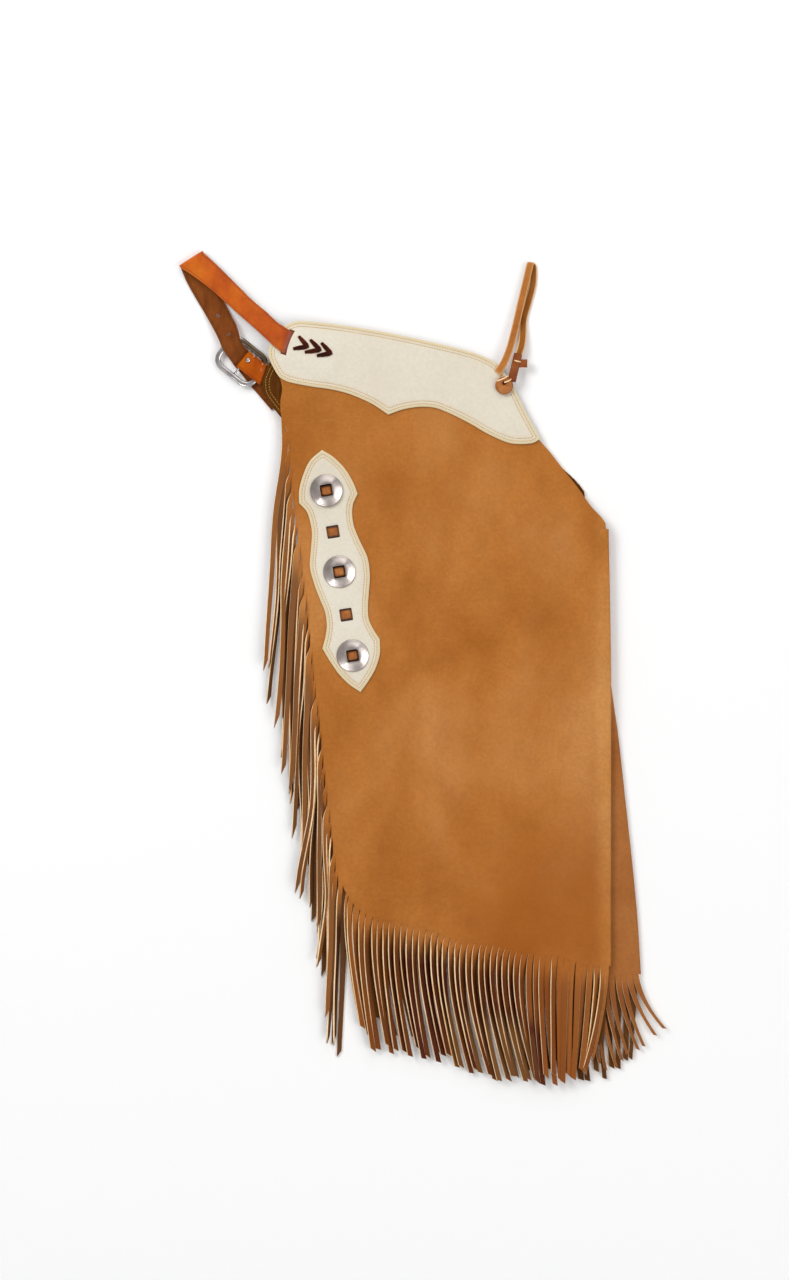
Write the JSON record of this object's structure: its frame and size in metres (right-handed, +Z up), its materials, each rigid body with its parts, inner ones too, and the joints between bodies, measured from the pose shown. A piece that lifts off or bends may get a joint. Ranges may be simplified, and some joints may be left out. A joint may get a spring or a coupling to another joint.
{
  "type": "leather chaps",
  "caption": "Folded pair of knee-length fringed leather chaps lying flat, with scalloped yokes, a buckled belt strap, a waist lace and conchos down the side.",
  "frame": {"origin": "centre of the bounding box, at the level of the surface that the folded pair lies on", "axes": "+Y from the fringe's ends to the belt, +Z up from the surface through the folded layers, +X towards the legs' inner folds"},
  "size_m": [0.5628, 0.9622, 0.0177],
  "materials": {
    "tan_leather": "smooth oiled, low sheen",
    "cream_leather": "matt, fine grain",
    "orange_leather": "waxed strap leather",
    "dark_lacing": "matt",
    "steel": "polished, slightly warm"
  },
  "bodies": {
    "root": {"near_leg": "tan_leather", "far_leg": "tan_leather", "lace": "tan_leather", "lace_keeper": "tan_leather", "lace_knot": "tan_leather", "lace_stub": "tan_leather", "near_side_fringe": "tan_leather", "far_side_fringe": "tan_leather", "near_hem_fringe": "tan_leather", "far_hem_fringe": "tan_leather", "near_flap_fringe": "tan_leather", "far_flap_fringe": "tan_leather", "thong_1": "tan_leather", "thong_2": "tan_leather", "thong_3": "tan_leather", "thong_4": "tan_leather", "thong_5": "tan_leather", "near_yoke": "cream_leather", "far_yoke": "cream_leather", "near_plate": "cream_leather", "belt": "orange_leather", "billet": "orange_leather", "lacing_1": "dark_lacing", "lacing_2": "dark_lacing", "lacing_3": "dark_lacing", "buckle_frame": "steel", "buckle_bar": "steel", "rivet": "steel", "concho_1": "steel", "concho_2": "steel", "concho_3": "steel"}
  },
  "joints": []
}
